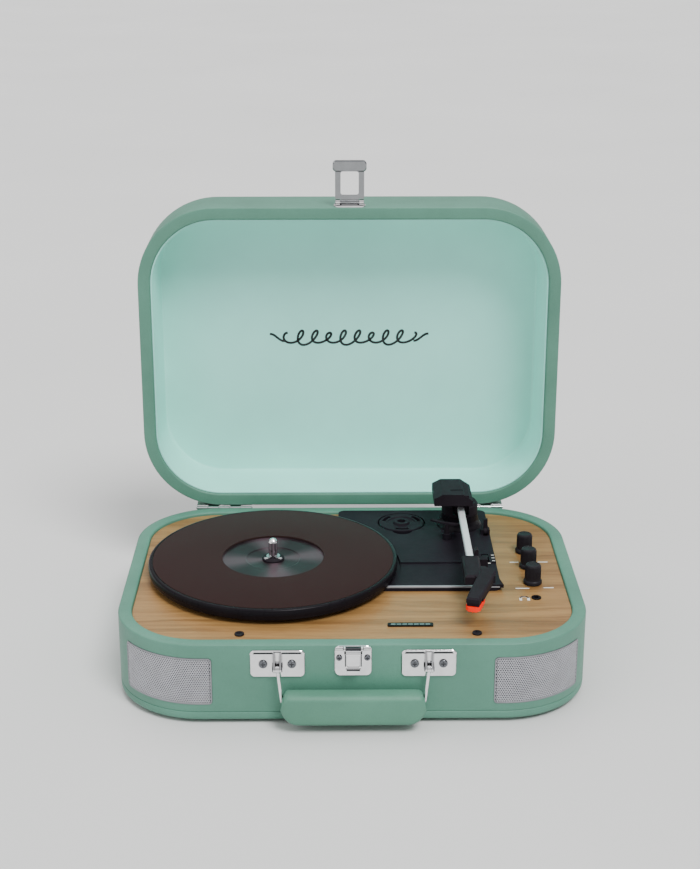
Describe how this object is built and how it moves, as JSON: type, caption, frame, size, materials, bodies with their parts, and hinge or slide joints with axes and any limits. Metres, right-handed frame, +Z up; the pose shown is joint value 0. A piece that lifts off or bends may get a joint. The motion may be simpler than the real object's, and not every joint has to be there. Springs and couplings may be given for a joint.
{
  "type": "suitcase record player",
  "caption": "Portable record player in a round-cornered leatherette suitcase, with hinged lid, belt-driven platter, tone arm, corner speakers and a front handle.",
  "frame": {"origin": "centre of the lower case's outline in plan, on the surface that the rubber feet stand on", "axes": "+Z up, +X to the user's right, +Y to the back where the lid is hinged; the user, handle and latch are on the -Y side"},
  "size_m": [0.355, 0.3408, 0.3664],
  "materials": {
    "leatherette": "embossed grain, satin",
    "lining": "smooth paper-backed lining",
    "oak_panel": "clear satin lacquer",
    "plain_wood": "sawn",
    "black_plastic": "fine moulded texture",
    "gloss_black": "polished",
    "knob_black": "satin",
    "mat_felt": "short felt",
    "chrome": "bright plate",
    "steel": "brushed",
    "arm_metal": "satin anodised",
    "grille_metal": "perforated, silver",
    "rubber": "matt",
    "stylus_red": "translucent moulding",
    "circuit_board": "lacquered",
    "brass": "plain",
    "cone_paper": "pressed paper"
  },
  "bodies": {
    "base": {"arm_rest": "black_plastic", "arm_turret": "gloss_black", "badge_plate": "gloss_black", "base_shell": "leatherette", "bottom_panel": "leatherette", "case_screws": "chrome", "drive_belt": "rubber", "foot_screws": "steel", "handle_brackets": "chrome", "hardware_pins": "chrome", "headphone_socket": "gloss_black", "hinge_base_leaves": "chrome", "hinge_pins": "chrome", "latch_plate": "chrome", "main_board": "circuit_board", "mechanism_chassis": "black_plastic", "motor_housing": "steel", "panel_cleats": "plain_wood", "panel_screws": "knob_black", "potentiometers": "steel", "rear_socket_plate": "black_plastic", "rear_sockets": "brass", "record_spindle": "chrome", "rubber_feet": "rubber", "speaker_baskets": "steel", "speaker_cones": "cone_paper", "speaker_grille_left": "grille_metal", "speaker_grille_right": "grille_metal", "speed_switch": "black_plastic", "spindle_clip": "steel", "wood_top_panel": "oak_panel"},
    "lid": {"lid_shell": "leatherette", "lid_lining": "lining", "lid_screws": "chrome", "hasp_plate": "chrome", "hasp_pin": "chrome", "hinge_lid_leaves": "chrome"},
    "hasp": {"hasp": "chrome"},
    "latch_tongue": {"latch_tongue": "chrome"},
    "handle": {"handle_wire": "chrome", "handle_grip": "leatherette"},
    "platter": {"platter": "gloss_black", "platter_bush": "black_plastic", "slip_mat": "mat_felt"},
    "motor_rotor": {"motor_pulley": "brass"},
    "arm_yoke": {"arm_yoke": "black_plastic", "arm_pivot_pins": "steel"},
    "tone_arm": {"arm_tube": "arm_metal", "arm_rear_block": "black_plastic", "arm_weight": "steel", "head_shell": "black_plastic", "cartridge": "black_plastic", "stylus": "stylus_red"},
    "cue_lift": {"cue_lift_bar": "black_plastic"},
    "cue_lever": {"cue_lever": "black_plastic"},
    "speed_slider": {"speed_slider": "gloss_black"},
    "volume_knob": {"volume_knob": "knob_black"},
    "source_knob": {"source_knob": "knob_black"},
    "mode_knob": {"mode_knob": "knob_black"},
    "adapter": {"adapter_45": "gloss_black"}
  },
  "joints": [
    {"name": "lid_hinge", "type": "hinge", "parent": "base", "child": "lid", "pos_m": [0, 0.1334, 0.0635], "axis": [-1, 0, 0], "range_deg": [-90.5, 0]},
    {"name": "hasp_hinge", "type": "hinge", "parent": "lid", "child": "hasp", "pos_m": [0, 0.14225, 0.33233], "axis": [-1, 0, 0], "range_deg": [-90, 85]},
    {"name": "latch_tongue_spring", "type": "hinge", "parent": "base", "child": "latch_tongue", "pos_m": [0, -0.1344, 0.0622], "axis": [1, 0, 0], "range_deg": [0, 6], "stiffness_Nm_per_rad": 0.05, "springref_deg": -5.73},
    {"name": "handle_swing", "type": "hinge", "parent": "base", "child": "handle", "pos_m": [0, -0.1361, 0.0472], "axis": [-1, 0, 0], "range_deg": [0, 120]},
    {"name": "platter_spin", "type": "hinge", "parent": "base", "child": "platter", "pos_m": [-0.0623, 0.003, 0.07], "axis": [0, 0, 1], "continuous": true},
    {"name": "motor_spin", "type": "hinge", "parent": "base", "child": "motor_rotor", "pos_m": [-0.11392, 0.05462, 0.068], "axis": [0, 0, 1], "continuous": true},
    {"name": "arm_yaw", "type": "hinge", "parent": "base", "child": "arm_yoke", "pos_m": [0.0925, 0.088, 0.0845], "axis": [0, 0, -1], "range_deg": [0, 45]},
    {"name": "arm_lift", "type": "hinge", "parent": "arm_yoke", "child": "tone_arm", "pos_m": [0.0925, 0.088, 0.0845], "axis": [-1, 0, 0], "range_deg": [0, 5]},
    {"name": "cue_lever_turn", "type": "hinge", "parent": "base", "child": "cue_lever", "pos_m": [0.113, 0.068, 0.0687], "axis": [1, 0, 0], "range_deg": [0, 60]},
    {"name": "cue_lift_rise", "type": "slide", "parent": "base", "child": "cue_lift", "axis": [0, 0, 1], "range_m": [0, 0.0025]},
    {"name": "speed_slide", "type": "slide", "parent": "base", "child": "speed_slider", "axis": [0, -1, 0], "range_m": [-0.0055, 0.0055]},
    {"name": "volume_turn", "type": "hinge", "parent": "base", "child": "volume_knob", "pos_m": [0.1424, 0.039, 0.07], "axis": [0, 0, -1], "range_deg": [-140, 140]},
    {"name": "source_turn", "type": "hinge", "parent": "base", "child": "source_knob", "pos_m": [0.1424, 0.0088, 0.07], "axis": [0, 0, -1], "range_deg": [-35, 35]},
    {"name": "mode_turn", "type": "hinge", "parent": "base", "child": "mode_knob", "pos_m": [0.1424, -0.022, 0.07], "axis": [0, 0, -1], "range_deg": [-35, 35]},
    {"name": "adapter_removal", "type": "slide", "parent": "base", "child": "adapter", "axis": [0, 0, 1], "range_m": [0, 0.025]}
  ],
  "couplings": [
    {"joint": "motor_spin", "follows": "platter_spin", "ratio": 12},
    {"joint": "cue_lift_rise", "follows": "arm_lift", "m_per_rad": 0.02864},
    {"joint": "cue_lever_turn", "follows": "arm_lift", "ratio": 11.999}
  ]
}
